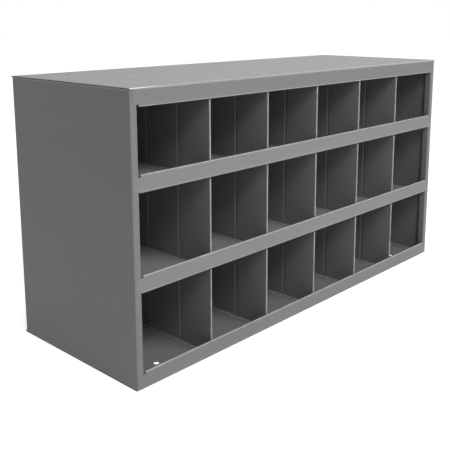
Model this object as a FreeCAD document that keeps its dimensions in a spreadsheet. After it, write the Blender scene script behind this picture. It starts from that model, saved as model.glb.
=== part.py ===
import FreeCAD, Part
import math
import os
import Sketcher

# A low steel bin cabinet folded from thin sheet and spot welded: two sides, a back, a top and a bottom pan,
# two shelves and upright dividers. The front is towards -Y, and the origin is under the middle of the base.

# Driving sizes in millimetres
SIZES = {
    "width": 857.25,          # over the outer faces of the sides
    "depth": 304.8,           # face of the front lips to face of the rear flanges
    "height": 444.5,          # underside of the bottom pan to the top face
    "gauge": 0.9,             # sheet thickness
    "bend": 1.5,              # inside radius of a fold
    "lip_height": 27.0,       # front lip, with its hem
    "hem_depth": 8.0,         # how far a hem turns back behind its lip
    "hem_gap": 1.2,           # clear space inside a hem
    "hem_clear": 2.9,         # hem end to the front flange of the side
    "lip_setback": 4.5,       # lip end to the outer face of the side
    "ear_drop": 4.0,          # edge of a lip's plain end below the hem's edge
    "front_flange": 12.7,     # front edge of a side, turned in
    "front_return": 12.7,     # and turned back again
    "rear_flange": 12.7,      # rear edge of a side
    "side_flange": 12.7,      # upper and lower edges of a side
    "pan_flange": 12.7,       # rear edge of the top and bottom pans
    "shelf_flange": 12.7,     # ends and rear edge of a shelf
    "back_inset": 3.0,        # back panel edge to the outer face of the side
    "bolt_hole": 8.7,         # bolt hole diameter
    "bolt_from_side": 76.2,   # bolt hole centre to the outer face of the side
    "bolt_from_front": 47.6,  # bolt hole centre to the front and rear faces
    "divider_pitch": 136.5,   # one divider to the next
    "divider_edge": 5.0,      # front edge of a divider, turned aside
    "divider_foot": 9.5,      # foot and head flanges of a divider
    "bead_pitch": 76.2,       # one pressed bead to the next
    "bead_width": 8.0,        # bead across its mouth
    "bead_rise": 2.0,         # how far a bead is pressed out
    "fit": 0.3,               # clearance between pieces that slide together
}

# Rows from the bottom up, and bins in a row
ROWS = ("bottom", "middle", "top")
COLUMNS = 6

# Beads pressed into a divider
BEADS = 3

# Points nearer than this are one point
CLOSE = 1e-6

# Places that several pieces share, as expressions of the sizes
HALF = "sizes.width / 2"
FRONT = "-sizes.depth / 2"
REAR = "sizes.depth / 2"
FOLD = "(sizes.bend + sizes.gauge)"
HEM = "(2 * sizes.gauge + sizes.hem_gap)"
ROW_HEIGHT = f"((sizes.height - {len(ROWS) + 1} * sizes.gauge) / {len(ROWS)})"
EAR_TOP = "(sizes.lip_height - sizes.ear_drop)"

document = FreeCAD.newDocument("bin_shelving")
sheet = document.addObject("Spreadsheet::Sheet", "sizes")
for line, (alias, size) in enumerate(SIZES.items(), start=1):
    sheet.set(f"A{line}", alias)
    sheet.set(f"B{line}", str(size))
    sheet.setAlias(f"B{line}", alias)
document.recompute()


def value(expression):
    """Work out an expression of the sizes."""
    return float(sheet.evalExpression(expression))


def new_body(label):
    """Start one piece of sheet."""
    body = document.addObject("PartDesign::Body", label)
    body.Label = label
    return body


def new_sketch(body, name, plane, offset="0"):
    """Start a sketch on one of the piece's own planes, moved along that plane's +X, +Y or +Z axis."""
    sketch = body.newObject("Sketcher::SketchObject", f"{body.Label}_{name}")
    support = next(feature for feature in body.Origin.OriginFeatures if feature.Role == plane)
    sketch.AttachmentSupport = [(support, "")]
    sketch.MapMode = "FlatFace"
    sense = -1 if plane == "XZ_Plane" else 1
    sketch.setExpression("AttachmentOffset.Base.z", f"{sense} * ({offset})")
    return sketch


def moved(place, direction, distance):
    """Move a place along a direction by a distance given as an expression."""
    return tuple(
        f"{along} + {step} * ({distance})" if step else along
        for along, step in zip(place, direction)
    )


def arc_between(start, end, radius, turn):
    """Arc of under a half circle between two points, turning left (1) or right (-1)."""
    chord = end - start
    left = FreeCAD.Vector(-chord.y, chord.x, 0).normalize()
    reach = math.sqrt(radius ** 2 - (chord.Length / 2) ** 2)
    centre = (start + end) / 2 + left * turn * reach
    middle = centre - left * turn * radius
    ends = (start, middle, end) if turn > 0 else (end, middle, start)
    return Part.Arc(*ends)


def draw(sketch, outline):
    """Draw a closed outline of (place, radius, turn): a point with a radius starts an arc, others a line."""
    points = [FreeCAD.Vector(value(place[0]), value(place[1]), 0) for place, _, _ in outline]
    first = sketch.GeometryCount
    count = len(outline)
    constraints = []
    expressions = []
    for index, (place, radius, turn) in enumerate(outline):
        start, end = points[index], points[(index + 1) % count]
        if radius:
            sketch.addGeometry(arc_between(start, end, value(radius), turn))
            constraints.append(Sketcher.Constraint("Radius", first + index, value(radius)))
            expressions.append(radius)
        else:
            sketch.addGeometry(Part.LineSegment(start, end))
        begin = 2 if radius and turn < 0 else 1
        for kind, along in zip(("DistanceX", "DistanceY"), place):
            constraints.append(Sketcher.Constraint(kind, -1, 1, first + index, begin, value(along)))
            expressions.append(along)
        before = index - 1 if index else count - 1
        finish = 1 if outline[before][1] and outline[before][2] < 0 else 2
        constraints.append(Sketcher.Constraint("Coincident", first + before, finish, first + index, begin))
        expressions.append(None)
    numbers = range(sketch.ConstraintCount, sketch.ConstraintCount + len(constraints))
    sketch.addConstraint(constraints)
    for number, expression in zip(numbers, expressions):
        if expression:
            sketch.setExpression(f"Constraints[{number}]", expression)


def rectangle(left, right, low, high):
    """Closed outline of a rectangle."""
    corners = ((left, low), (right, low), (right, high), (left, high))
    return [(corner, None, 0) for corner in corners]


def is_spent(entry, following):
    """True where the line from one outline point to the next has no length, as at the crown of a hem."""
    apart = math.hypot(*(value(a) - value(b) for a, b in zip(entry[0], following[0])))
    return entry[1] is None and apart < CLOSE


def folded(corners, side):
    """Closed outline of a strip of sheet folded square.

    Corners are (across, up) places along one face of the strip, each bend with its inside radius as a
    third entry. The sheet lies to the left (1) or right (-1) of the line through them.
    """
    places = [corner[:2] for corner in corners]
    points = [FreeCAD.Vector(value(across), value(up), 0) for across, up in places]
    steps = []
    for start, end in zip(points, points[1:]):
        step = (end - start).normalize()
        steps.append((round(step.x), round(step.y)))
    normals = [(-side * step[1], side * step[0]) for step in steps]
    near = [(places[0], None, 0)]
    far = [(moved(places[0], normals[0], "sizes.gauge"), None, 0)]
    for index in range(1, len(corners) - 1):
        before, after = steps[index - 1], steps[index]
        turn = before[0] * after[1] - before[1] * after[0]
        inside = corners[index][2]
        outside = f"({inside} + sizes.gauge)"
        near_radius, far_radius = (outside, inside) if turn == side else (inside, outside)
        back = (-before[0], -before[1])
        near_place = places[index]
        far_place = moved(moved(near_place, normals[index - 1], "sizes.gauge"), normals[index], "sizes.gauge")
        near.append((moved(near_place, back, near_radius), near_radius, turn))
        near.append((moved(near_place, after, near_radius), None, 0))
        far.append((moved(far_place, back, far_radius), None, 0))
        far.append((moved(far_place, after, far_radius), far_radius, -turn))
    near.append((places[-1], None, 0))
    far.append((moved(places[-1], normals[-1], "sizes.gauge"), None, 0))
    outline = near + far[::-1]
    pairs = zip(outline, outline[1:] + outline[:1])
    return [entry for entry, following in pairs if not is_spent(entry, following)]


def pad(body, sketch, length, symmetric=False, downward=False):
    """Thicken a sketch along +X, +Y or +Z, to both sides, or downward."""
    feature = body.newObject("PartDesign::Pad", f"{sketch.Label}_pad")
    feature.Profile = sketch
    feature.SideType = "Symmetric" if symmetric else "One side"
    faces_back = sketch.AttachmentSupport[0][0].Role == "XZ_Plane"
    feature.Reversed = faces_back != downward
    feature.setExpression("Length", length)
    sketch.Visibility = False


def cut(body, sketch, length=None):
    """Cut a sketch out of a piece, to both sides: right through, or over a length."""
    document.recompute()
    uncut = body.Shape.Volume
    feature = body.newObject("PartDesign::Pocket", f"{sketch.Label}_cut")
    feature.Profile = sketch
    feature.SideType = "Symmetric"
    if length:
        feature.setExpression("Length", length)
    else:
        feature.Type = "ThroughAll"
    sketch.Visibility = False
    document.recompute()
    if body.Shape.Volume >= uncut:
        raise RuntimeError(f"{feature.Label} cuts nothing")


def hem_on_lip(body, height_at, side):
    """Fold the free edge of a front lip back on itself between the front flanges of the sides."""
    behind = f"{FRONT} + {HEM}"
    sketch = new_sketch(body, "hem", "YZ_Plane")
    crown = "(sizes.hem_gap / 2)"
    corners = (
        (FRONT, height_at(EAR_TOP)),
        (FRONT, height_at("sizes.lip_height"), crown),
        (behind, height_at("sizes.lip_height"), crown),
        (behind, height_at("(sizes.lip_height - sizes.hem_depth)")),
    )
    draw(sketch, folded(corners, side))
    pad(body, sketch, "sizes.width - 2 * (sizes.front_flange + sizes.hem_clear)", symmetric=True)


def make_side(label, hand):
    """End sheet on the left (-1) or right (1): front edge folded into a C, the other edges turned in."""
    body = new_body(label)
    outer = f"{hand} * {HALF}"
    flange_face = f"{FRONT} + sizes.gauge"
    back_face = f"{REAR} - 2 * sizes.gauge"
    flange_edge = f"{hand} * ({HALF} - sizes.front_flange)"
    upright = new_sketch(body, "upright", "XY_Plane", f"sizes.gauge + {FOLD}")
    corners = (
        (flange_edge, f"{flange_face} + sizes.front_return"),
        (flange_edge, flange_face, "sizes.bend"),
        (outer, flange_face, "sizes.bend"),
        (outer, back_face, "sizes.bend"),
        (f"{hand} * ({HALF} - sizes.rear_flange)", back_face),
    )
    draw(upright, folded(corners, hand))
    pad(body, upright, f"sizes.height - 2 * (sizes.gauge + {FOLD})")
    inner = f"{hand} * ({HALF} - sizes.side_flange)"
    channel = new_sketch(body, "channel", "XZ_Plane", f"{flange_face} + {FOLD}")
    corners = (
        (inner, "sizes.gauge"),
        (outer, "sizes.gauge", "sizes.bend"),
        (outer, "sizes.height - sizes.gauge", "sizes.bend"),
        (inner, "sizes.height - sizes.gauge"),
    )
    draw(channel, folded(corners, hand))
    pad(body, channel, f"sizes.depth - 3 * sizes.gauge - 2 * {FOLD}")
    return body


def make_back(label):
    """Flat sheet between the rear flanges of the pans, welded to the rear flanges of the sides."""
    body = new_body(label)
    sketch = new_sketch(body, "sheet", "XZ_Plane", f"{REAR} - 2 * sizes.gauge")
    edge = f"({HALF} - sizes.back_inset)"
    low = "sizes.gauge + sizes.bend + sizes.fit"
    draw(sketch, rectangle(f"-1 * {edge}", edge, low, f"sizes.height - ({low})"))
    pad(body, sketch, "sizes.gauge")
    return body


def make_pan(label, level, up):
    """Top or bottom pan, laid over the ends of the sides, with a hemmed lip, a rear flange and bolt holes.

    Level is its outer face, and up is 1 where its lip stands up and -1 where it hangs down.
    """
    body = new_body(label)

    def height_at(rise):
        return f"{level} + {up} * {rise}"

    section = new_sketch(body, "section", "YZ_Plane")
    corners = (
        (REAR, height_at("sizes.pan_flange")),
        (REAR, level, "sizes.bend"),
        (FRONT, level, "sizes.bend"),
        (FRONT, height_at(EAR_TOP)),
    )
    draw(section, folded(corners, -up))
    pad(body, section, "sizes.width - 2 * sizes.lip_setback", symmetric=True)
    hem_on_lip(body, height_at, -up)
    plate = new_sketch(body, "plate", "XY_Plane", level)
    draw(plate, rectangle(f"-{HALF}", HALF, f"{FRONT} + {FOLD}", f"{REAR} - {FOLD}"))
    pad(body, plate, "sizes.gauge", downward=up < 0)
    holes = new_sketch(body, "bolt_holes", "XY_Plane", level)
    for across in (-1, 1):
        for along in (-1, 1):
            centre = (
                f"{across} * ({HALF} - sizes.bolt_from_side)",
                f"{along} * ({REAR} - sizes.bolt_from_front)",
            )
            draw_hole(holes, centre, "sizes.bolt_hole / 2")
    cut(body, holes)
    return body


def draw_hole(sketch, centre, radius):
    """Draw one round hole."""
    place = FreeCAD.Vector(value(centre[0]), value(centre[1]), 0)
    circle = sketch.addGeometry(Part.Circle(place, FreeCAD.Vector(0, 0, 1), value(radius)))
    settings = (
        (Sketcher.Constraint("DistanceX", -1, 1, circle, 3, place.x), centre[0]),
        (Sketcher.Constraint("DistanceY", -1, 1, circle, 3, place.y), centre[1]),
        (Sketcher.Constraint("Radius", circle, value(radius)), radius),
    )
    for constraint, expression in settings:
        number = sketch.addConstraint(constraint)
        sketch.setExpression(f"Constraints[{number}]", expression)


def make_shelf(label, level):
    """Shelf between the sides: hemmed lip over their front flanges, ends and rear edge turned down."""
    body = new_body(label)

    def height_at(rise):
        return f"{level} + {rise}"

    turned_down = f"{level} + sizes.gauge - sizes.shelf_flange"
    floor_front = f"{FRONT} + sizes.gauge + sizes.front_return + sizes.fit"
    floor_rear = f"{REAR} - 3 * sizes.gauge - sizes.bend - sizes.fit"
    end_face = f"({HALF} - sizes.gauge - sizes.fit)"
    floor_top = f"{level} + sizes.gauge"
    floor = new_sketch(body, "floor", "XZ_Plane", floor_front)
    corners = (
        (f"-1 * {end_face}", turned_down),
        (f"-1 * {end_face}", floor_top, "sizes.bend"),
        (end_face, floor_top, "sizes.bend"),
        (end_face, turned_down),
    )
    draw(floor, folded(corners, -1))
    pad(body, floor, f"{floor_rear} - ({floor_front})")
    lip = new_sketch(body, "lip", "YZ_Plane")
    draw(lip, folded((("0", level), (FRONT, level, "sizes.bend"), (FRONT, height_at(EAR_TOP))), -1))
    pad(body, lip, "sizes.width - 2 * (sizes.front_flange + sizes.fit)", symmetric=True)
    rear = new_sketch(body, "rear", "YZ_Plane")
    rear_face = f"{REAR} - 3 * sizes.gauge"
    draw(rear, folded(((rear_face, turned_down), (rear_face, level, "sizes.bend"), ("0", level)), -1))
    pad(body, rear, "sizes.width - 2 * (sizes.rear_flange + sizes.fit)", symmetric=True)
    ears = new_sketch(body, "ears", "XZ_Plane", FRONT)
    ear_end = f"({HALF} - sizes.lip_setback)"
    draw(ears, rectangle(f"-1 * {ear_end}", ear_end, height_at(FOLD), height_at(EAR_TOP)))
    pad(body, ears, "sizes.gauge")
    hem_on_lip(body, height_at, -1)
    return body


def bead_mouths():
    """Start and end of each bead along the depth, about the middle of the cabinet."""
    for number in range(BEADS):
        middle = f"{number - (BEADS - 1) / 2} * sizes.bead_pitch"
        yield f"{middle} - sizes.bead_width / 2", f"{middle} + sizes.bead_width / 2"


def bead_outline(face, start, end):
    """Vee of a pressed bead, from a face of the sheet towards the right."""
    crest = f"({start} + {end}) / 2"
    corners = ((face, start), (f"{face} + sizes.bead_rise", crest), (face, end))
    return [(corner, None, 0) for corner in corners]


def make_divider(label, across, level, foot_hand):
    """Upright partition with a folded front edge, foot and head flanges and pressed vee beads.

    Its web stands at a distance across the cabinet, on a floor at a level. The head turns left, and the
    foot turns left (-1) or right (1). A foot on the hollow side of the beads is notched at each of them.
    """
    body = new_body(label)
    left_face = f"({across} - sizes.gauge / 2)"
    right_face = f"({across} + sizes.gauge / 2)"
    head = f"{level} + {ROW_HEIGHT}"
    head_edge = f"{right_face} - sizes.divider_foot"
    front_face = f"{FRONT} + {HEM} + sizes.fit"
    web_front = f"{front_face} + {FOLD}"
    web_rear = f"{REAR} - 3 * sizes.gauge - sizes.bend - sizes.fit"
    if foot_hand < 0:
        foot = ((head_edge, level), (right_face, level, "sizes.bend"))
    else:
        foot_top = f"{level} + sizes.gauge"
        foot = ((f"{left_face} + sizes.divider_foot", foot_top), (right_face, foot_top, "sizes.bend"))
    web = new_sketch(body, "web", "XZ_Plane", web_front)
    draw(web, folded((*foot, (right_face, head, "sizes.bend"), (head_edge, head)), 1))
    pad(body, web, f"{web_rear} - ({web_front})")
    edge = new_sketch(body, "edge", "XY_Plane", f"{level} + {FOLD}")
    corners = (
        (f"{right_face} - sizes.divider_edge", front_face),
        (right_face, front_face, "sizes.bend"),
        (right_face, f"{web_front} + {FOLD}"),
    )
    draw(edge, folded(corners, 1))
    bead_length = f"{ROW_HEIGHT} - 2 * {FOLD}"
    pad(body, edge, bead_length)
    bulges = new_sketch(body, "bulges", "XY_Plane", f"{level} + {FOLD}")
    grooves = new_sketch(body, "grooves", "XY_Plane", f"{level} + {ROW_HEIGHT} / 2")
    for start, end in bead_mouths():
        draw(bulges, bead_outline(right_face, start, end))
        draw(grooves, bead_outline(left_face, start, end))
    pad(body, bulges, bead_length)
    cut(body, grooves, bead_length)
    if foot_hand < 0:
        notches = new_sketch(body, "notches", "XY_Plane", level)
        for start, end in bead_mouths():
            draw(notches, rectangle(f"{left_face} - sizes.divider_foot", left_face, start, end))
        cut(body, notches, f"2 * {FOLD}")
    return body


# Levels of the floors that the rows stand on, from the bottom up
floors = [f"{row} * ({ROW_HEIGHT} + sizes.gauge)" for row in range(len(ROWS))]

pieces = [
    make_side("left_side", -1),
    make_side("right_side", 1),
    make_back("back_panel"),
    make_pan("bottom_panel", "0", 1),
    make_pan("top_panel", "sizes.height", -1),
    make_shelf("lower_shelf", floors[1]),
    make_shelf("upper_shelf", floors[2]),
]
# Dividers of the bottom row have their feet to the left, those of the rows above to the right
for row, floor in zip(ROWS, floors):
    for number in range(1, COLUMNS):
        place = f"{number - COLUMNS / 2} * sizes.divider_pitch"
        foot_hand = -1 if row == "bottom" else 1
        pieces.append(make_divider(f"divider_{row}_{number}", place, f"{floor} + sizes.gauge", foot_hand))
document.recompute()

for item in document.Objects:
    if "Invalid" in item.State or "Error" in item.State:
        raise RuntimeError(f"{item.Label} failed: {item.State}")
for piece in pieces:
    if piece.Shape.isNull() or not piece.Shape.isValid() or len(piece.Shape.Solids) != 1:
        raise RuntimeError(f"{piece.Label} is not one sound solid")

os.makedirs("parts", exist_ok=True)
for piece in pieces:
    piece.Shape.exportStep(f"parts/{piece.Label}.step")
    box = piece.Shape.BoundBox
    print(f"{piece.Label}: {box.XLength:.2f} x {box.YLength:.2f} x {box.ZLength:.2f} mm")
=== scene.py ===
import math

import bpy
import numpy as np
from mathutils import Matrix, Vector


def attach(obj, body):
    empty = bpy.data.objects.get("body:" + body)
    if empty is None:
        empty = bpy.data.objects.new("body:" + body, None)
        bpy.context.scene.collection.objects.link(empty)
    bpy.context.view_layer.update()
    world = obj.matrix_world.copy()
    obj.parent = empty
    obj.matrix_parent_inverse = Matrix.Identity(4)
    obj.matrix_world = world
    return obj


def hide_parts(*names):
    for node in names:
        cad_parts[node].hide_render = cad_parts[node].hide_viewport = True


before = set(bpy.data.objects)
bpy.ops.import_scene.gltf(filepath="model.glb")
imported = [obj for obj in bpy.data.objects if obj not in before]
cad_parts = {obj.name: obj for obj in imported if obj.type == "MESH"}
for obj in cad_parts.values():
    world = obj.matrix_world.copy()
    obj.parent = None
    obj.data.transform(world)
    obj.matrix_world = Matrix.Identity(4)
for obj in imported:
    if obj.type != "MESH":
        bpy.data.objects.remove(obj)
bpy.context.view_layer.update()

# End sheets
# The left and right ends are single sheets of thin steel, cut flat and folded on a press brake: the front
# edge twice, into a C, and the other three edges once, for the sheets welded to them. The folds close each
# corner in round. Like the whole cabinet, they are sprayed after welding with a grey paint that is baked on.
GAUGE = 0.0009
HALF_WIDTH = 0.428625
HALF_DEPTH = 0.1524
HEIGHT = 0.4445
FOLD_INSIDE = 0.0015
FOLD_OUTSIDE = FOLD_INSIDE + GAUGE
FOLD_MIDDLE = FOLD_INSIDE + GAUGE / 2
FOLD_LENGTH = FOLD_MIDDLE * math.pi / 2
FOLD_STEPS = 10
TURN_IN = 0.0127
FLANGE_FLAT = TURN_IN - FOLD_OUTSIDE
FLANGE_STEPS = 2
FRONT_FLANGE_FLAT = TURN_IN - 2 * FOLD_OUTSIDE
END_FRONT = -HALF_DEPTH + GAUGE + FOLD_OUTSIDE
END_REAR = HALF_DEPTH - 2 * GAUGE - FOLD_OUTSIDE
END_LOW = GAUGE + FOLD_OUTSIDE
END_HIGH = HEIGHT - END_LOW
END_RETURN = END_FRONT - FOLD_LENGTH - FRONT_FLANGE_FLAT
END_DEPTH_STEPS = 12
END_HEIGHT_STEPS = 18
HOLE_SIDE_STEPS = 8
FIRST_CORNER = math.radians(-135)
SAME_POINT = 0.000001
SHARP_EDGE = math.radians(40)
WEAR_AND_HIGHLIGHT_REACH = 0.0008
ROOM_FOR_WEAR = 2.5 * WEAR_AND_HIGHLIGHT_REACH
FAR_FROM_EDGES_AND_FOLDS = 1.0
PAINT_GREY = (0.21, 0.21, 0.2137, 1.0)
# Lighter colour painted along folds and hems as their highlight
PAINT_FOLD_HIGHLIGHT = (0.38, 0.38, 0.386, 1.0)
PAINT_RUBBED = (0.46, 0.46, 0.466, 1.0)
# Patterns in the paint: scale and detail of the noise, and the two levels that it runs between
CLOUDS = (7.0, 3.0, 0.97, 1.03)
SPECKLE = (900.0, 1.0, 0.97, 1.03)
FOLD_HIGHLIGHT_PATTERN = (12.0, 2.0, 0.5, 0.8)
RUBBING = (90.0, 4.0, 0.0, 0.9)
DULLNESS = (30.0, 3.0, 0.45, 0.49)
ORANGE_PEEL = (520.0, 2.0, 0.0, 1.0)
NOISE_LOW = 0.3
NOISE_HIGH = 0.7
RUBBED_DULLER = 0.1
FOLD_SHINIER = 0.37
PEEL_STRENGTH = 0.12
PEEL_HEIGHT = 0.0002
# Numbers of a Mix node's colour sockets, which have the same names as those for values and vectors
MIX_SHARE = 0
MIX_FIRST = 6
MIX_SECOND = 7
MIX_RESULT = 2


def ruled(start, *runs):
    """Cutting lines from a start on, each run given as its number of equal steps and its end.

    Lines close beside the ends of a run keep the wear of an edge narrow, and the sheet next to a fold flat.
    """
    lines = {start}
    for steps, end in runs:
        lines.update(start + (end - start) * step / steps for step in range(1, steps))
        lines.add(end)
        if (end - start) / steps > ROOM_FOR_WEAR:
            lines.update((start + WEAR_AND_HIGHLIGHT_REACH, end - WEAR_AND_HIGHLIGHT_REACH))
        start = end
    return sorted(lines)


def cut_blank(name, across, along, is_kept, lay, folds, hems=(), holes=()):
    """Flat sheet cut on a grid of lines, notched where is_kept says no, with round holes in some cells.

    lay puts a point of the flat sheet, with its height above the sheet's middle, into the cabinet. Each
    point keeps its distance to the nearest cut edge or hem and to the nearest fold, for the paint's wear on
    edges and for the highlight that is painted on folds.
    """
    points = []
    flat = []
    faces = []
    borders = []
    numbers = {}

    def point(key, u, v, face):
        """Number of a point on one face of the sheet, which is added when it is first asked for."""
        if (key, face) not in numbers:
            numbers[key, face] = len(points)
            points.append(lay(u, v, face * GAUGE / 2))
            flat.append((u, v))
        return numbers[key, face]

    def corner(place, face):
        """Number of a point where two cutting lines cross."""
        return point(place, across[place[0]], along[place[1]], face)

    def drill(cell, ring, hole):
        """Fill a cell up to the rim of a round hole, and add the wall of the hole."""
        u, v, radius = hole
        count = 4 * HOLE_SIDE_STEPS
        angles = [FIRST_CORNER + math.tau * step / count for step in range(count + 1)]
        rims = {}
        for face in (1, -1):
            rims[face] = [
                point((cell, step % count), u + radius * math.cos(turn), v + radius * math.sin(turn), face)
                for step, turn in enumerate(angles)
            ]
            for side in range(4):
                arc = rims[face][side * HOLE_SIDE_STEPS:(side + 1) * HOLE_SIDE_STEPS + 1]
                edge = [corner(ring[side], face), corner(ring[(side + 1) % 4], face)]
                outline = edge + arc[::-1]
                faces.append(outline if face > 0 else outline[::-1])
        for step in range(count):
            faces.append([rims[1][step], rims[1][step + 1], rims[-1][step + 1], rims[-1][step]])
            borders.append((rims[1][step], rims[1][step + 1]))

    columns, rows = range(len(across) - 1), range(len(along) - 1)
    cells = {
        (i, j) for i in columns for j in rows
        if is_kept((across[i] + across[i + 1]) / 2, (along[j] + along[j + 1]) / 2)
    }
    for i, j in sorted(cells):
        ring = ((i, j), (i + 1, j), (i + 1, j + 1), (i, j + 1))
        hole = [h for h in holes if across[i] < h[0] < across[i + 1] and along[j] < h[1] < along[j + 1]]
        if hole:
            drill((i, j), ring, hole[0])
        else:
            faces.append([corner(place, 1) for place in ring])
            faces.append([corner(place, -1) for place in reversed(ring)])
        for side, beyond in enumerate(((i, j - 1), (i + 1, j), (i, j + 1), (i - 1, j))):
            if beyond not in cells:
                start, end = ring[side], ring[(side + 1) % 4]
                faces.append([corner(start, -1), corner(end, -1), corner(end, 1), corner(start, 1)])
                borders.append((corner(start, 1), corner(end, 1)))

    blank = bpy.data.meshes.new(name)
    blank.from_pydata(points, [], faces)
    spots = np.array(flat)

    def from_strip(axis, low, high):
        """Distance of each point to a strip that runs right across the sheet."""
        return np.maximum(np.maximum(low - spots[:, axis], spots[:, axis] - high), 0)

    starts = spots[[start for start, _ in borders]]
    runs = spots[[end for _, end in borders]] - starts
    lengths = (runs ** 2).sum(1)
    to_edge = np.full(len(spots), FAR_FROM_EDGES_AND_FOLDS)
    for start, run, length in zip(starts, runs, lengths):
        share = np.clip(((spots - start) @ run) / length, 0, 1)
        to_edge = np.minimum(to_edge, np.linalg.norm(spots - start - share[:, None] * run, axis=1))
    for hem in hems:
        to_edge = np.minimum(to_edge, from_strip(*hem))
    to_fold = np.full(len(spots), FAR_FROM_EDGES_AND_FOLDS)
    for fold in (*folds, *hems):
        to_fold = np.minimum(to_fold, from_strip(*fold))
    for label, distances in (("to_edge", to_edge), ("to_fold", to_fold)):
        attribute = blank.attributes.new(label, "FLOAT", "POINT")
        attribute.data.foreach_set("value", distances.astype(np.float32))
    return blank


def feed(tree, socket, given):
    """Link an output to a socket, or set the socket to a fixed value."""
    if isinstance(given, bpy.types.NodeSocket):
        tree.links.new(given, socket)
    else:
        socket.default_value = given


def calc(tree, operation, *values):
    """Result of a Math node."""
    node = tree.nodes.new("ShaderNodeMath")
    node.operation = operation
    for socket, given in zip(node.inputs, values):
        feed(tree, socket, given)
    return node.outputs[0]


def vector(tree, operation, first, second=None, scale=None):
    """Result of a Vector Math node."""
    node = tree.nodes.new("ShaderNodeVectorMath")
    node.operation = operation
    feed(tree, node.inputs[0], first)
    if second is not None:
        feed(tree, node.inputs[1], second)
    if scale is not None:
        feed(tree, node.inputs["Scale"], scale)
    return node.outputs["Value" if operation in ("DOT_PRODUCT", "LENGTH") else "Vector"]


def start_tree(name, **inputs):
    """New geometry tree with named inputs, and its group input and output nodes."""
    tree = bpy.data.node_groups.new(name, "GeometryNodeTree")
    tree.interface.new_socket("Geometry", in_out="INPUT", socket_type="NodeSocketGeometry")
    tree.interface.new_socket("Geometry", in_out="OUTPUT", socket_type="NodeSocketGeometry")
    for label, kind in inputs.items():
        tree.interface.new_socket(label, in_out="INPUT", socket_type=f"NodeSocket{kind}")
    return tree, tree.nodes.new("NodeGroupInput"), tree.nodes.new("NodeGroupOutput")


def finish_tree(tree, geometry, place, result, material):
    """End a tree with its piece moved to its place, as real geometry in one finish."""
    move = tree.nodes.new("GeometryNodeTransform")
    real = tree.nodes.new("GeometryNodeRealizeInstances")
    coat = tree.nodes.new("GeometryNodeSetMaterial")
    coat.inputs["Material"].default_value = material
    tree.links.new(geometry, move.inputs["Geometry"])
    tree.links.new(place, move.inputs["Translation"])
    tree.links.new(move.outputs["Geometry"], real.inputs["Geometry"])
    tree.links.new(real.outputs["Geometry"], coat.inputs["Geometry"])
    tree.links.new(coat.outputs["Geometry"], result.inputs["Geometry"])


# The press brake: points past a fold's line roll round the bend, and those past the bend stay flat
press_brake, given, result = start_tree(
    "press_brake", Line="Vector", Outward="Vector", Toward="Vector", Radius="Float", Angle="Float"
)
outward, toward = given.outputs["Outward"], given.outputs["Toward"]
radius, angle = given.outputs["Radius"], given.outputs["Angle"]
place = press_brake.nodes.new("GeometryNodeInputPosition")
from_line = vector(press_brake, "SUBTRACT", place.outputs["Position"], given.outputs["Line"])
run = vector(press_brake, "DOT_PRODUCT", from_line, outward)
rise = vector(press_brake, "DOT_PRODUCT", from_line, toward)
rolled = calc(press_brake, "DIVIDE", run, radius)
turned = calc(press_brake, "MINIMUM", calc(press_brake, "MAXIMUM", rolled, 0.0), angle)
bend_length = calc(press_brake, "MULTIPLY", radius, angle)
past = calc(press_brake, "MAXIMUM", calc(press_brake, "SUBTRACT", run, bend_length), 0.0)
arm = calc(press_brake, "SUBTRACT", radius, rise)
sine, cosine = calc(press_brake, "SINE", turned), calc(press_brake, "COSINE", turned)
before = calc(press_brake, "MINIMUM", run, 0.0)
new_run = calc(press_brake, "ADD", before, calc(press_brake, "MULTIPLY", arm, sine))
new_run = calc(press_brake, "ADD", new_run, calc(press_brake, "MULTIPLY", past, cosine))
new_rise = calc(press_brake, "SUBTRACT", radius, calc(press_brake, "MULTIPLY", arm, cosine))
new_rise = calc(press_brake, "ADD", new_rise, calc(press_brake, "MULTIPLY", past, sine))
step_out = vector(press_brake, "SCALE", outward, scale=calc(press_brake, "SUBTRACT", new_run, run))
step_up = vector(press_brake, "SCALE", toward, scale=calc(press_brake, "SUBTRACT", new_rise, rise))
moved = press_brake.nodes.new("GeometryNodeSetPosition")
press_brake.links.new(given.outputs["Geometry"], moved.inputs["Geometry"])
press_brake.links.new(vector(press_brake, "ADD", step_out, step_up), moved.inputs["Offset"])
press_brake.links.new(moved.outputs["Geometry"], result.inputs["Geometry"])


def add_fold(tree, geometry, line, outward, toward, radius, degrees=90):
    """Fold the sheet at a line, given as a distance along the outward axis."""
    brake = tree.nodes.new("GeometryNodeGroup")
    brake.node_tree = press_brake
    axis = tuple(abs(part) for part in outward)
    tree.links.new(geometry, brake.inputs["Geometry"])
    tree.links.new(vector(tree, "SCALE", axis, scale=line), brake.inputs["Line"])
    feed(tree, brake.inputs["Outward"], outward)
    feed(tree, brake.inputs["Toward"], toward)
    feed(tree, brake.inputs["Radius"], radius)
    feed(tree, brake.inputs["Angle"], math.radians(degrees))
    return brake.outputs["Geometry"]


def make_sheet(name, blank, tree, node, **sizes):
    """Run a blank through its tree, keep the result as a plain mesh and let it stand for its CAD node."""
    piece = bpy.data.objects.new(name, blank.copy())
    bpy.context.scene.collection.objects.link(piece)
    modifier = piece.modifiers.new(tree.name, "NODES")
    modifier.node_group = tree
    for socket in tree.interface.items_tree:
        if socket.in_out == "INPUT" and socket.name in sizes:
            modifier[socket.identifier] = sizes[socket.name]
    finished = piece.evaluated_get(bpy.context.evaluated_depsgraph_get())
    folded = bpy.data.meshes.new_from_object(finished)
    piece.modifiers.clear()
    piece.data = folded
    folded.name = name
    folded.shade_smooth()
    folded.set_sharp_from_angle(angle=SHARP_EDGE)
    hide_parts(node)
    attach(piece, "root")


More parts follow.
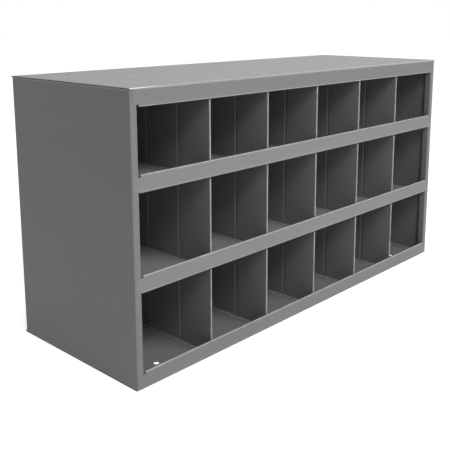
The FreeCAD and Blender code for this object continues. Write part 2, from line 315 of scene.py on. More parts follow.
def stretch(tree, value, from_low, from_high, to_low, to_high, interpolation="LINEAR"):
    """Value taken from one range of levels to another, and held at their ends."""
    node = tree.nodes.new("ShaderNodeMapRange")
    node.interpolation_type = interpolation
    node.inputs["From Min"].default_value = from_low
    node.inputs["From Max"].default_value = from_high
    node.inputs["To Min"].default_value = to_low
    node.inputs["To Max"].default_value = to_high
    tree.links.new(value, node.inputs["Value"])
    return node.outputs["Result"]


def spread(tree, coordinates, pattern):
    """Noise over the piece, between the pattern's two levels."""
    scale, detail, low, high = pattern
    noise = tree.nodes.new("ShaderNodeTexNoise")
    noise.inputs["Scale"].default_value = scale
    noise.inputs["Detail"].default_value = detail
    tree.links.new(coordinates, noise.inputs["Vector"])
    return stretch(tree, noise.outputs["Fac"], NOISE_LOW, NOISE_HIGH, low, high)


def near(tree, attribute):
    """1 at a cut edge or fold of the sheet, falling to 0 where the edge wear and the painted fold highlight
    end.
    """
    distance = tree.nodes.new("ShaderNodeAttribute")
    distance.attribute_name = attribute
    return stretch(tree, distance.outputs["Fac"], 0.0, WEAR_AND_HIGHLIGHT_REACH, 1.0, 0.0, "SMOOTHSTEP")


def tint(tree, share, first, second):
    """Mix of two colours."""
    mix = tree.nodes.new("ShaderNodeMix")
    mix.data_type = "RGBA"
    feed(tree, mix.inputs[MIX_SHARE], share)
    feed(tree, mix.inputs[MIX_FIRST], first)
    feed(tree, mix.inputs[MIX_SECOND], second)
    return mix.outputs[MIX_RESULT]


def baked_paint(name, grey):
    """Satin baked paint, a little uneven, with orange peel, painted highlights on folds and rubbed edges."""
    material = bpy.data.materials.new(name)
    material.use_nodes = True
    tree = material.node_tree
    coat = tree.nodes["Principled BSDF"]
    coordinates = tree.nodes.new("ShaderNodeTexCoord").outputs["Object"]
    uneven = calc(tree, "MULTIPLY", spread(tree, coordinates, CLOUDS), spread(tree, coordinates, SPECKLE))
    at_fold = near(tree, "to_fold")
    # Folds and hems, the dividers' front edges among them, are painted lighter as a highlight, and are
    # smoother
    thin = calc(tree, "MULTIPLY", at_fold, spread(tree, coordinates, FOLD_HIGHLIGHT_PATTERN))
    rubbed = calc(tree, "MULTIPLY", near(tree, "to_edge"), spread(tree, coordinates, RUBBING))
    colour = tint(tree, thin, grey, PAINT_FOLD_HIGHLIGHT)
    colour = tint(tree, rubbed, colour, PAINT_RUBBED)
    tree.links.new(vector(tree, "SCALE", colour, scale=uneven), coat.inputs["Base Color"])
    dull = spread(tree, coordinates, DULLNESS)
    dull = calc(tree, "ADD", dull, calc(tree, "MULTIPLY", rubbed, RUBBED_DULLER))
    dull = calc(tree, "SUBTRACT", dull, calc(tree, "MULTIPLY", at_fold, FOLD_SHINIER))
    tree.links.new(dull, coat.inputs["Roughness"])
    peel = tree.nodes.new("ShaderNodeBump")
    peel.inputs["Strength"].default_value = PEEL_STRENGTH
    peel.inputs["Distance"].default_value = PEEL_HEIGHT
    tree.links.new(spread(tree, coordinates, ORANGE_PEEL), peel.inputs["Height"])
    tree.links.new(peel.outputs["Normal"], coat.inputs["Normal"])
    return material


grey_paint = baked_paint("grey_baked_paint", PAINT_GREY)
end_across = ruled(
    END_RETURN - FOLD_LENGTH - FLANGE_FLAT,
    (FLANGE_STEPS, END_RETURN - FOLD_LENGTH), (FOLD_STEPS, END_RETURN),
    (FLANGE_STEPS, END_FRONT - FOLD_LENGTH), (FOLD_STEPS, END_FRONT),
    (END_DEPTH_STEPS, END_REAR), (FOLD_STEPS, END_REAR + FOLD_LENGTH),
    (FLANGE_STEPS, END_REAR + FOLD_LENGTH + FLANGE_FLAT),
)
end_along = ruled(
    END_LOW - FOLD_LENGTH - FLANGE_FLAT,
    (FLANGE_STEPS, END_LOW - FOLD_LENGTH), (FOLD_STEPS, END_LOW),
    (END_HEIGHT_STEPS, END_HIGH), (FOLD_STEPS, END_HIGH + FOLD_LENGTH),
    (FLANGE_STEPS, END_HIGH + FOLD_LENGTH + FLANGE_FLAT),
)
end_folds = (
    (0, END_REAR, END_REAR + FOLD_LENGTH),
    (1, END_LOW - FOLD_LENGTH, END_LOW),
    (1, END_HIGH, END_HIGH + FOLD_LENGTH),
)


def is_end(y, z):
    """Face with its flanges, and corners that two folds draw in round, open only between the flanges."""
    in_depth = END_FRONT - FOLD_LENGTH < y < END_REAR + FOLD_LENGTH
    in_height = END_LOW - FOLD_LENGTH < z < END_HIGH + FOLD_LENGTH
    return in_depth and in_height or END_FRONT < y < END_REAR or END_LOW < z < END_HIGH


def upright(y, z, rise):
    """Point of a sheet that stands from front to rear."""
    return rise, y, z


end_tree, given, result = start_tree(
    "end_sheet_folds", Return="Float", Front="Float", Rear="Float", Low="Float", High="Float",
    Inside="Vector", Radius="Float", Place="Vector",
)
inside, radius = given.outputs["Inside"], given.outputs["Radius"]
bent = given.outputs["Geometry"]
bent = add_fold(end_tree, bent, given.outputs["Return"], (0, -1, 0), inside, radius)
bent = add_fold(end_tree, bent, given.outputs["Front"], (0, -1, 0), inside, radius)
bent = add_fold(end_tree, bent, given.outputs["Rear"], (0, 1, 0), inside, radius)
bent = add_fold(end_tree, bent, given.outputs["Low"], (0, 0, -1), inside, radius)
bent = add_fold(end_tree, bent, given.outputs["High"], (0, 0, 1), inside, radius)
# Each round corner ends in a point, where the lines of the grid meet
joined = end_tree.nodes.new("GeometryNodeMergeByDistance")
joined.inputs["Distance"].default_value = SAME_POINT
end_tree.links.new(bent, joined.inputs["Geometry"])
finish_tree(end_tree, joined.outputs["Geometry"], given.outputs["Place"], result, grey_paint)
end_blank = cut_blank("end_blank", end_across, end_along, is_end, upright, end_folds)
for name, node, hand in (("left_end_sheet", "left_side", -1), ("right_end_sheet", "right_side", 1)):
    make_sheet(
        name, end_blank, end_tree, node,
        Return=END_RETURN, Front=END_FRONT, Rear=END_REAR, Low=END_LOW, High=END_HIGH,
        Inside=(-hand, 0, 0), Radius=FOLD_MIDDLE, Place=(hand * (HALF_WIDTH - GAUGE / 2), 0, 0),
    )

# Bottom and top pans
# Each pan is one sheet of the same steel, laid over the folded ends. Its front edge turns up or down into a
# lip with an open hem, its rear edge into a flange outside the back sheet, and four holes take bolts. The
# lip's ears are welded over the front flanges of the ends, and those of the bottom pan are ground thin.
LIP_HEIGHT = 0.027
LIP_INSET = 0.0045
LIP_HALF = HALF_WIDTH - LIP_INSET
LIP_STEPS = 3
EAR_HEIGHT = 0.023
EAR_GRIND = 0.004
EAR_THIN = 0.0002
HEM_INSET = 0.0029
HEM_HALF = HALF_WIDTH - TURN_IN - HEM_INSET
HEM_DEPTH = 0.008
HEM_GAP = 0.0012
HEM_MIDDLE = (HEM_GAP + GAUGE) / 2
HEM_OUTSIDE = HEM_GAP / 2 + GAUGE
HEM_LENGTH = HEM_MIDDLE * math.pi
HEM_STEPS = 14
BOLT_RADIUS = 0.00435
BOLT_END_INSET = 0.0762
BOLT_EDGE_INSET = 0.0476
BOLT_ACROSS = HALF_WIDTH - BOLT_END_INSET
BOLT_ALONG = HALF_DEPTH - BOLT_EDGE_INSET
BOLT_CELL = 0.012
BESIDE_BOLT_STEPS = 2
PAN_WIDTH_STEPS = 28
PAN_DEPTH_STEPS = 8
PAN_FRONT = -HALF_DEPTH + FOLD_OUTSIDE
PAN_REAR = HALF_DEPTH - FOLD_OUTSIDE
LIP_START = PAN_FRONT - FOLD_LENGTH
EAR_END = LIP_START - (EAR_HEIGHT - FOLD_OUTSIDE)
HEM_START = LIP_START - (LIP_HEIGHT - FOLD_OUTSIDE - HEM_OUTSIDE)
HEM_END = HEM_START - HEM_LENGTH
HEM_EDGE = HEM_END - (HEM_DEPTH - HEM_OUTSIDE)
WELD_RADIUS = 0.003
WELD_BURR = 0.0011
WELD_RISE = 0.0006
WELD_RING_STEPS = 24
WELD_BURR_STEPS = 12
WELD_REACH = 0.39
WELDS_ACROSS = 11

pan_across = ruled(
    -HALF_WIDTH, (1, -LIP_HALF), (1, EAR_GRIND - LIP_HALF), (1, -HEM_HALF),
    (BESIDE_BOLT_STEPS, -BOLT_ACROSS - BOLT_CELL), (1, -BOLT_ACROSS + BOLT_CELL),
    (PAN_WIDTH_STEPS, BOLT_ACROSS - BOLT_CELL), (1, BOLT_ACROSS + BOLT_CELL),
    (BESIDE_BOLT_STEPS, HEM_HALF), (1, LIP_HALF - EAR_GRIND), (1, LIP_HALF), (1, HALF_WIDTH),
)
lip_runs = (
    (FLANGE_STEPS, HEM_END), (HEM_STEPS, HEM_START), (1, EAR_END),
    (LIP_STEPS, LIP_START), (FOLD_STEPS, PAN_FRONT),
)
pan_along = ruled(
    HEM_EDGE, *lip_runs,
    (BESIDE_BOLT_STEPS, -BOLT_ALONG - BOLT_CELL), (1, -BOLT_ALONG + BOLT_CELL),
    (PAN_DEPTH_STEPS, BOLT_ALONG - BOLT_CELL), (1, BOLT_ALONG + BOLT_CELL), (BESIDE_BOLT_STEPS, PAN_REAR),
    (FOLD_STEPS, PAN_REAR + FOLD_LENGTH), (FLANGE_STEPS, PAN_REAR + FOLD_LENGTH + FLANGE_FLAT),
)
pan_folds = ((1, LIP_START, PAN_FRONT), (1, PAN_REAR, PAN_REAR + FOLD_LENGTH))
lip_hem = ((1, HEM_END, HEM_START),)
bolt_holes = [
    (across, along, BOLT_RADIUS)
    for across in (-BOLT_ACROSS, BOLT_ACROSS) for along in (-BOLT_ALONG, BOLT_ALONG)
]


def is_pan(x, y):
    """Plate and folds over the full width, lip and rear flange short of it, hem between the end sheets."""
    if y < EAR_END:
        return abs(x) < HEM_HALF
    return LIP_START < y < PAN_REAR + FOLD_LENGTH or abs(x) < LIP_HALF


def level(x, y, rise):
    """Point of a sheet that lies level."""
    return x, y, rise


def ground(x, y, rise):
    """The same, with the outer face of the lip's ears ground down to a thin edge after welding."""
    if rise < 0 and y < PAN_FRONT:
        to_end = min(max((abs(x) - LIP_HALF + EAR_GRIND) / EAR_GRIND, 0.0), 1.0)
        round_fold = min((PAN_FRONT - y) / FOLD_LENGTH, 1.0)
        rise += to_end * round_fold * (GAUGE - EAR_THIN)
    return x, y, rise


# Spot welds: under the paint each pair of electrodes leaves a low ring, in rows along the rear flanges
weld_row, given, result = start_tree("weld_row", Start="Vector", End="Vector", Count="Int")
ring = weld_row.nodes.new("GeometryNodeCurvePrimitiveCircle")
ring.inputs["Resolution"].default_value = WELD_RING_STEPS
ring.inputs["Radius"].default_value = WELD_RADIUS
burr = weld_row.nodes.new("GeometryNodeCurvePrimitiveCircle")
burr.inputs["Resolution"].default_value = WELD_BURR_STEPS
burr.inputs["Radius"].default_value = WELD_BURR
mark = weld_row.nodes.new("GeometryNodeCurveToMesh")
weld_row.links.new(ring.outputs["Curve"], mark.inputs["Curve"])
weld_row.links.new(burr.outputs["Curve"], mark.inputs["Profile Curve"])
pressed = weld_row.nodes.new("GeometryNodeTransform")
pressed.inputs["Scale"].default_value = (1.0, 1.0, WELD_RISE / WELD_BURR)
weld_row.links.new(mark.outputs["Mesh"], pressed.inputs["Geometry"])
painted = pressed.outputs["Geometry"]
for label in ("to_edge", "to_fold"):
    keep = weld_row.nodes.new("GeometryNodeStoreNamedAttribute")
    keep.inputs["Name"].default_value = label
    keep.inputs["Value"].default_value = FAR_FROM_EDGES_AND_FOLDS
    weld_row.links.new(painted, keep.inputs["Geometry"])
    painted = keep.outputs["Geometry"]
line = weld_row.nodes.new("GeometryNodeMeshLine")
line.mode = "END_POINTS"
weld_row.links.new(given.outputs["Count"], line.inputs["Count"])
weld_row.links.new(given.outputs["Start"], line.inputs["Start Location"])
weld_row.links.new(given.outputs["End"], line.inputs["Offset"])
along_row = weld_row.nodes.new("GeometryNodeInstanceOnPoints")
along_row.inputs["Rotation"].default_value = (math.radians(-90), 0, 0)
weld_row.links.new(line.outputs["Mesh"], along_row.inputs["Points"])
weld_row.links.new(painted, along_row.inputs["Instance"])
both = weld_row.nodes.new("GeometryNodeJoinGeometry")
weld_row.links.new(given.outputs["Geometry"], both.inputs["Geometry"])
weld_row.links.new(along_row.outputs["Instances"], both.inputs["Geometry"])
weld_row.links.new(both.outputs["Geometry"], result.inputs["Geometry"])


def add_welds(tree, geometry, start, end, count):
    """Add a row of weld marks to a rear face, from one point to another."""
    row = tree.nodes.new("GeometryNodeGroup")
    row.node_tree = weld_row
    tree.links.new(geometry, row.inputs["Geometry"])
    feed(tree, row.inputs["Start"], start)
    feed(tree, row.inputs["End"], end)
    feed(tree, row.inputs["Count"], count)
    return row.outputs["Geometry"]


pan_tree, given, result = start_tree(
    "pan_folds", Hem="Float", Lip="Float", Rear="Float", Inside="Vector", Radius="Float",
    Hem_Radius="Float", First_Weld="Vector", Last_Weld="Vector", Welds="Int", Place="Vector",
)
inside, radius, hem_radius = (given.outputs[label] for label in ("Inside", "Radius", "Hem_Radius"))
bent = given.outputs["Geometry"]
bent = add_fold(pan_tree, bent, given.outputs["Hem"], (0, -1, 0), inside, hem_radius, degrees=180)
bent = add_fold(pan_tree, bent, given.outputs["Lip"], (0, -1, 0), inside, radius)
bent = add_fold(pan_tree, bent, given.outputs["Rear"], (0, 1, 0), inside, radius)
welded = add_welds(
    pan_tree, bent, given.outputs["First_Weld"], given.outputs["Last_Weld"], given.outputs["Welds"]
)
finish_tree(pan_tree, welded, given.outputs["Place"], result, grey_paint)
for name, node, up, lay, height in (
    ("bottom_pan", "bottom_panel", 1, ground, GAUGE / 2),
    ("top_pan", "top_panel", -1, level, HEIGHT - GAUGE / 2),
):
    pan_blank = cut_blank(
        f"{name}_blank", pan_across, pan_along, is_pan, lay, pan_folds, lip_hem, bolt_holes
    )
    make_sheet(
        name, pan_blank, pan_tree, node,
        Hem=HEM_START, Lip=PAN_FRONT, Rear=PAN_REAR,
        Inside=(0, 0, up), Radius=FOLD_MIDDLE, Hem_Radius=HEM_MIDDLE,
        First_Weld=(-WELD_REACH, HALF_DEPTH, up * TURN_IN / 2),
        Last_Weld=(WELD_REACH, HALF_DEPTH, up * TURN_IN / 2), Welds=WELDS_ACROSS,
        Place=(0, 0, height),
    )

# Back sheet
# The back is one flat sheet of the same steel, spot welded to the rear flanges of the ends and the shelves.
# The rear flanges of the pans lap over its upper and lower edges.
FIT = 0.0003
BACK_INSET = 0.003
BACK_HALF = HALF_WIDTH - BACK_INSET
BACK_LOW = GAUGE + FOLD_INSIDE + FIT
BACK_MIDDLE = HALF_DEPTH - 1.5 * GAUGE
BACK_WIDTH_STEPS = 34
BACK_HEIGHT_STEPS = 18
ROWS = 3
ROW_HEIGHT = (HEIGHT - (ROWS + 1) * GAUGE) / ROWS
ROW_PITCH = ROW_HEIGHT + GAUGE
WELD_FROM_MIDDLE = 0.001
END_WELDS = HALF_WIDTH - TURN_IN / 2 - WELD_FROM_MIDDLE
END_WELDS_LOW = 0.03
WELDS_UP = 6

back_tree, given, result = start_tree("back_sheet_welds", Shelf_Welds="Int", End_Welds="Int", Place="Vector")
welded = given.outputs["Geometry"]
for row in range(1, ROWS):
    height = row * ROW_PITCH + GAUGE - TURN_IN / 2
    start, end = (-WELD_REACH, GAUGE / 2, height), (WELD_REACH, GAUGE / 2, height)
    welded = add_welds(back_tree, welded, start, end, given.outputs["Shelf_Welds"])
for across in (-END_WELDS, END_WELDS):
    start, end = (across, GAUGE / 2, END_WELDS_LOW), (across, GAUGE / 2, HEIGHT - END_WELDS_LOW)
    welded = add_welds(back_tree, welded, start, end, given.outputs["End_Welds"])
finish_tree(back_tree, welded, given.outputs["Place"], result, grey_paint)
back_blank = cut_blank(
    "back_blank", ruled(-BACK_HALF, (BACK_WIDTH_STEPS, BACK_HALF)),
    ruled(BACK_LOW, (BACK_HEIGHT_STEPS, HEIGHT - BACK_LOW)),
    is_kept=lambda x, z: True, lay=lambda x, z, rise: (x, -rise, z), folds=(),
)
make_sheet(
    "back_sheet", back_blank, back_tree, "back_panel",
    Shelf_Welds=WELDS_ACROSS, End_Welds=WELDS_UP, Place=(0, BACK_MIDDLE, 0),
)

# Shelves
# Two sheets of the same steel are folded like the pans, but fit between the ends: their ends and rear edge
# turn down to be welded, and the plain ears of the lip lap over the front flanges of the end sheets and are
# ground thin. Their paint is a lighter grey than that of the other sheets.
SHELF_HALF = HALF_WIDTH - TURN_IN - FIT
SHELF_END = HALF_WIDTH - GAUGE - FIT - FOLD_OUTSIDE
SHELF_FRONT = -HALF_DEPTH + GAUGE + TURN_IN + FIT
SHELF_REAR = HALF_DEPTH - 3 * GAUGE - FOLD_INSIDE
SHELF_STOP = SHELF_REAR - FIT
SHELF_WIDTH_STEPS = 34
SHELF_DEPTH_STEPS = 11
SHELF_GREY = (0.242, 0.242, 0.246, 1.0)

shelf_across = ruled(
    -SHELF_END - FOLD_LENGTH - FLANGE_FLAT,
    (FLANGE_STEPS, -SHELF_END - FOLD_LENGTH), (FOLD_STEPS, -SHELF_END),
    (1, -LIP_HALF), (1, EAR_GRIND - LIP_HALF), (1, -SHELF_HALF), (1, -HEM_HALF),
    (SHELF_WIDTH_STEPS, HEM_HALF), (1, SHELF_HALF), (1, LIP_HALF - EAR_GRIND), (1, LIP_HALF),
    (1, SHELF_END), (FOLD_STEPS, SHELF_END + FOLD_LENGTH),
    (FLANGE_STEPS, SHELF_END + FOLD_LENGTH + FLANGE_FLAT),
)
shelf_along = ruled(
    HEM_EDGE, *lip_runs, (1, SHELF_FRONT), (SHELF_DEPTH_STEPS, SHELF_STOP), (1, SHELF_REAR),
    (FOLD_STEPS, SHELF_REAR + FOLD_LENGTH), (FLANGE_STEPS, SHELF_REAR + FOLD_LENGTH + FLANGE_FLAT),
)
shelf_folds = (
    (1, LIP_START, PAN_FRONT), (1, SHELF_REAR, SHELF_REAR + FOLD_LENGTH),
    (0, -SHELF_END - FOLD_LENGTH, -SHELF_END), (0, SHELF_END, SHELF_END + FOLD_LENGTH),
)


def is_shelf(x, y):
    """Floor out to the end flanges, the rest between the flanges of the end sheets, ears beside the lip."""
    if y < EAR_END:
        return abs(x) < HEM_HALF
    if y < LIP_START:
        return abs(x) < LIP_HALF
    return SHELF_FRONT < y < SHELF_STOP or abs(x) < SHELF_HALF


shelf_tree, given, result = start_tree(
    "shelf_folds", Hem="Float", Lip="Float", Rear="Float", Left="Float", Right="Float",
    Radius="Float", Hem_Radius="Float", Place="Vector",
)
radius, hem_radius = given.outputs["Radius"], given.outputs["Hem_Radius"]
bent = given.outputs["Geometry"]
bent = add_fold(shelf_tree, bent, given.outputs["Hem"], (0, -1, 0), (0, 0, 1), hem_radius, degrees=180)
bent = add_fold(shelf_tree, bent, given.outputs["Lip"], (0, -1, 0), (0, 0, 1), radius)
bent = add_fold(shelf_tree, bent, given.outputs["Rear"], (0, 1, 0), (0, 0, -1), radius)
bent = add_fold(shelf_tree, bent, given.outputs["Left"], (-1, 0, 0), (0, 0, -1), radius)
bent = add_fold(shelf_tree, bent, given.outputs["Right"], (1, 0, 0), (0, 0, -1), radius)
shelf_paint = baked_paint("shelf_baked_paint", SHELF_GREY)
finish_tree(shelf_tree, bent, given.outputs["Place"], result, shelf_paint)
shelf_blank = cut_blank("shelf_blank", shelf_across, shelf_along, is_shelf, ground, shelf_folds, lip_hem)
for name, node, row in (("lower_shelf_pan", "lower_shelf", 1), ("upper_shelf_pan", "upper_shelf", 2)):
    make_sheet(
        name, shelf_blank, shelf_tree, node,
        Hem=HEM_START, Lip=PAN_FRONT, Rear=SHELF_REAR, Left=-SHELF_END, Right=SHELF_END,
        Radius=FOLD_MIDDLE, Hem_Radius=HEM_MIDDLE, Place=(0, 0, row * ROW_PITCH + GAUGE / 2),
    )

# Dividers
# Fifteen upright sheets of the same steel make the bins. Each has three stiffening beads pressed in, an
# open hem turned right at its front edge and a head turned left. The foot turns left in the bottom row, where
# it is notched at the beads, and right above. All are spot welded to the sheets below and above them.
DIVIDERS = 5
DIVIDER_PITCH = 0.1365
DIVIDER_FRONT = -HALF_DEPTH + 2 * GAUGE + HEM_GAP + FIT + HEM_OUTSIDE
DIVIDER_REAR = SHELF_STOP
DIVIDER_LOW = FOLD_OUTSIDE
DIVIDER_HIGH = ROW_HEIGHT - FOLD_OUTSIDE
EDGE_END = DIVIDER_FRONT - HEM_LENGTH
EDGE_FLAT = HEM_DEPTH - HEM_OUTSIDE
FOOT_WIDTH = 0.0095
FOOT_FLAT = FOOT_WIDTH - FOLD_OUTSIDE
BEAD_PITCH = 0.0762
BEAD_HALF = 0.003
BEAD_RISE = 0.0013
BEAD_RUN_OUT = 0.005
BEAD_STEPS = 10
BESIDE_BEAD_STEPS = 3
RUN_OUT_STEPS = 5
BEAD_LENGTH_STEPS = 6

bead_runs = []
for bead in (-BEAD_PITCH, 0.0, BEAD_PITCH):
    bead_runs += [(BESIDE_BEAD_STEPS, bead - BEAD_HALF), (BEAD_STEPS, bead + BEAD_HALF)]
divider_across = ruled(
    EDGE_END - EDGE_FLAT, (1, EDGE_END), (HEM_STEPS, DIVIDER_FRONT),
    *bead_runs, (BESIDE_BEAD_STEPS, DIVIDER_REAR),
)
divider_along = ruled(
    DIVIDER_LOW - FOLD_LENGTH - FOOT_FLAT, (1, DIVIDER_LOW - FOLD_LENGTH), (FOLD_STEPS, DIVIDER_LOW),
    (RUN_OUT_STEPS, DIVIDER_LOW + BEAD_RUN_OUT), (BEAD_LENGTH_STEPS, DIVIDER_HIGH - BEAD_RUN_OUT),
    (RUN_OUT_STEPS, DIVIDER_HIGH), (FOLD_STEPS, DIVIDER_HIGH + FOLD_LENGTH),
    (1, DIVIDER_HIGH + FOLD_LENGTH + FOOT_FLAT),
)
divider_folds = (
    (1, DIVIDER_LOW - FOLD_LENGTH, DIVIDER_LOW),
    (1, DIVIDER_HIGH, DIVIDER_HIGH + FOLD_LENGTH),
)
edge_hem = ((0, EDGE_END, DIVIDER_FRONT),)


def is_upper_divider(y, z):
    """Web with its foot and head, and a front edge between the corner notches."""
    return y > DIVIDER_FRONT or DIVIDER_LOW < z < DIVIDER_HIGH


def is_bottom_divider(y, z):
    """The same, with the foot notched at each bead."""
    at_bead = abs((y + BEAD_PITCH / 2) % BEAD_PITCH - BEAD_PITCH / 2) < BEAD_HALF
    return is_upper_divider(y, z) and not (at_bead and z < DIVIDER_LOW)


divider_tree, given, result = start_tree(
    "divider_press", Edge="Float", Foot="Float", Head="Float", Foot_Toward="Vector",
    Radius="Float", Hem_Radius="Float",
    Bead_Pitch="Float", Bead_Half="Float", Bead_Rise="Float", Bead_Run_Out="Float", Place="Vector",
)
place = divider_tree.nodes.new("GeometryNodeInputPosition")
spot = divider_tree.nodes.new("ShaderNodeSeparateXYZ")
divider_tree.links.new(place.outputs["Position"], spot.inputs[0])
# The bead's cross-section is one wave of a cosine round the nearest multiple of the pitch
half_pitch = calc(divider_tree, "MULTIPLY", given.outputs["Bead_Pitch"], 0.5)
from_bead = calc(divider_tree, "PINGPONG", spot.outputs["Y"], half_pitch)
share = calc(divider_tree, "DIVIDE", from_bead, given.outputs["Bead_Half"])
share = calc(divider_tree, "MINIMUM", share, 1.0)
wave = calc(divider_tree, "COSINE", calc(divider_tree, "MULTIPLY", share, math.pi))
wave = calc(divider_tree, "MULTIPLY", calc(divider_tree, "ADD", wave, 1.0), 0.5)
above_foot = calc(divider_tree, "SUBTRACT", spot.outputs["Z"], given.outputs["Foot"])
below_head = calc(divider_tree, "SUBTRACT", given.outputs["Head"], spot.outputs["Z"])
to_end = calc(divider_tree, "MAXIMUM", calc(divider_tree, "MINIMUM", above_foot, below_head), 0.0)
run_out = calc(divider_tree, "DIVIDE", to_end, given.outputs["Bead_Run_Out"])
run_out = calc(divider_tree, "MINIMUM", run_out, 1.0)
lift = calc(divider_tree, "MULTIPLY", wave, given.outputs["Bead_Rise"])
lift = calc(divider_tree, "MULTIPLY", lift, run_out)
beaded = divider_tree.nodes.new("GeometryNodeSetPosition")
divider_tree.links.new(given.outputs["Geometry"], beaded.inputs["Geometry"])
divider_tree.links.new(vector(divider_tree, "SCALE", (1, 0, 0), scale=lift), beaded.inputs["Offset"])
radius, hem_radius = given.outputs["Radius"], given.outputs["Hem_Radius"]
foot_toward = given.outputs["Foot_Toward"]
bent = beaded.outputs["Geometry"]
bent = add_fold(divider_tree, bent, given.outputs["Edge"], (0, -1, 0), (1, 0, 0), hem_radius, degrees=180)
bent = add_fold(divider_tree, bent, given.outputs["Foot"], (0, 0, -1), foot_toward, radius)
bent = add_fold(divider_tree, bent, given.outputs["Head"], (0, 0, 1), (-1, 0, 0), radius)
finish_tree(divider_tree, bent, given.outputs["Place"], result, grey_paint)
for row, (row_name, is_divider, foot_hand) in enumerate((
    ("bottom", is_bottom_divider, -1), ("middle", is_upper_divider, 1), ("top", is_upper_divider, 1),
)):
    divider_blank = cut_blank(
        f"{row_name}_divider_blank", divider_across, divider_along, is_divider, upright,
        divider_folds, edge_hem,
    )
    for number in range(1, DIVIDERS + 1):
        from_middle = number - (DIVIDERS + 1) / 2
        make_sheet(
            f"{row_name}_divider_{number}", divider_blank, divider_tree, f"divider_{row_name}_{number}",
            Edge=DIVIDER_FRONT, Foot=DIVIDER_LOW, Head=DIVIDER_HIGH, Foot_Toward=(foot_hand, 0, 0),
            Radius=FOLD_MIDDLE, Hem_Radius=HEM_MIDDLE, Bead_Pitch=BEAD_PITCH, Bead_Half=BEAD_HALF,
            Bead_Rise=BEAD_RISE, Bead_Run_Out=BEAD_RUN_OUT,
            Place=(from_middle * DIVIDER_PITCH, 0, row * ROW_PITCH + GAUGE),
        )

# Floor and surround
# A plain pale studio floor, matt and wide, that keeps the cabinet's soft shadow. To the camera, and where
# the paint mirrors them, floor and surround are near white, but they throw little light on the cabinet.
FLOOR_SIZE = 30.0
FLOOR_PALE = (0.62, 0.62, 0.62, 1.0)
FLOOR_ROUGHNESS = 0.9
FLOOR_SHINE = 0.1
FLOOR_GLOW = 0.8
FLOOR_GLOW_FAR = 1.0
FLOOR_NEAR = 1.2
FLOOR_FAR = 4.0
SURROUND_LIGHT = 0.05
WHITE = (1.0, 1.0, 1.0, 1.0)

floor_mesh = bpy.data.meshes.new("studio_floor")
reach = FLOOR_SIZE / 2
floor_corners = [(-reach, -reach, 0), (reach, -reach, 0), (reach, reach, 0), (-reach, reach, 0)]
floor_mesh.from_pydata(floor_corners, [], [(0, 1, 2, 3)])
floor = bpy.data.objects.new("studio_floor", floor_mesh)
bpy.context.scene.collection.objects.link(floor)


def seen_share(tree):
    """1 for what the camera sees, straight or mirrored, and 0 for light falling on other things."""
    path = tree.nodes.new("ShaderNodeLightPath")
    mirrored = calc(tree, "MAXIMUM", path.outputs["Is Glossy Ray"], path.outputs["Is Transmission Ray"])
    return calc(tree, "MAXIMUM", path.outputs["Is Camera Ray"], mirrored)


floor_paint = bpy.data.materials.new("pale_floor")
floor_paint.use_nodes = True
tree = floor_paint.node_tree
shade = tree.nodes["Principled BSDF"]
shade.inputs["Roughness"].default_value = FLOOR_ROUGHNESS
shade.inputs["Specular IOR Level"].default_value = FLOOR_SHINE
shade.inputs["Base Color"].default_value = FLOOR_PALE
shade.inputs["Emission Color"].default_value = WHITE
away = vector(tree, "LENGTH", tree.nodes.new("ShaderNodeTexCoord").outputs["Object"])
whiter = stretch(tree, away, FLOOR_NEAR, FLOOR_FAR, FLOOR_GLOW, FLOOR_GLOW_FAR, "SMOOTHSTEP")
glow = calc(tree, "MULTIPLY", seen_share(tree), whiter)
tree.links.new(glow, shade.inputs["Emission Strength"])
floor_mesh.materials.append(floor_paint)

world = bpy.data.worlds.new("studio")
bpy.context.scene.world = world
world.use_nodes = True
tree = world.node_tree
background = tree.nodes["Background"]
background.inputs["Color"].default_value = WHITE
seen_light = calc(tree, "MULTIPLY", seen_share(tree), 1.0 - SURROUND_LIGHT)
tree.links.new(calc(tree, "ADD", seen_light, SURROUND_LIGHT), background.inputs["Strength"])

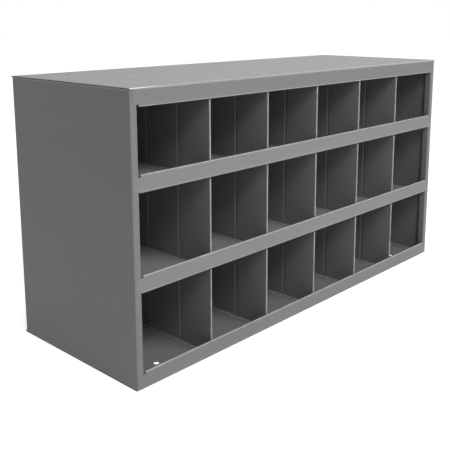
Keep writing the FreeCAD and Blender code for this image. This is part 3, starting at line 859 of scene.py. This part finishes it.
# Studio lamps
# Three soft boxes stand before the cabinet, in front of it, at its left and low at its left, and one stands
# behind it at the right. A small one overhead is the only one that the paint mirrors: it gives the bright
# streak on the front fold of the top.
LAMP_TARGET = (0.0, 0.0, 0.2)


def soft_box(name, place, size, power, mirrored=False):
    """Square area lamp aimed at the cabinet, seen or not in its shiny paint."""
    lamp = bpy.data.lights.new(name, "AREA")
    lamp.shape = "SQUARE"
    lamp.size = size
    lamp.energy = power
    stand = bpy.data.objects.new(name, lamp)
    stand.location = place
    stand.visible_glossy = mirrored
    bpy.context.scene.collection.objects.link(stand)
    away = Vector(place) - Vector(LAMP_TARGET)
    stand.rotation_euler = away.to_track_quat("Z", "Y").to_euler()


soft_box("front_box", place=(0.2, -2.2, 2.0), size=1.2, power=37.0)
soft_box("left_front_box", place=(-0.9, -1.4, 1.7), size=0.8, power=15.5)
soft_box("low_left_box", place=(-1.6, -2.2, 0.6), size=1.2, power=5.0)
soft_box("rear_box", place=(1.9, 1.9, 0.9), size=0.9, power=20.0)
soft_box("small_overhead_box", place=(0.89, -0.10, 2.1), size=0.26, power=13.0, mirrored=True)

# Camera
# It stands where the photograph was taken from, in front of the left end and a little above the top. Its
# lens is shifted to frame the cabinet, but no further than keeps it in view from every side.
SENSOR_WIDTH = 36.0
LENS = 57.2
SHIFT_ACROSS = -0.03
SHIFT_UP = -0.17
CAMERA_PLACE = (-1.0360, -0.9115, 0.5410)
CAMERA_DIP = 10.54
CAMERA_TURN = -47.33

camera_data = bpy.data.cameras.new("photo_camera")
camera_data.sensor_width = SENSOR_WIDTH
camera_data.lens = LENS
camera_data.shift_x = SHIFT_ACROSS
camera_data.shift_y = SHIFT_UP
camera = bpy.data.objects.new("photo_camera", camera_data)
camera.location = CAMERA_PLACE
camera.rotation_euler = (math.radians(90 - CAMERA_DIP), 0, math.radians(CAMERA_TURN))
bpy.context.scene.collection.objects.link(camera)
bpy.context.scene.camera = camera
bpy.context.scene.view_settings.view_transform = "Standard"
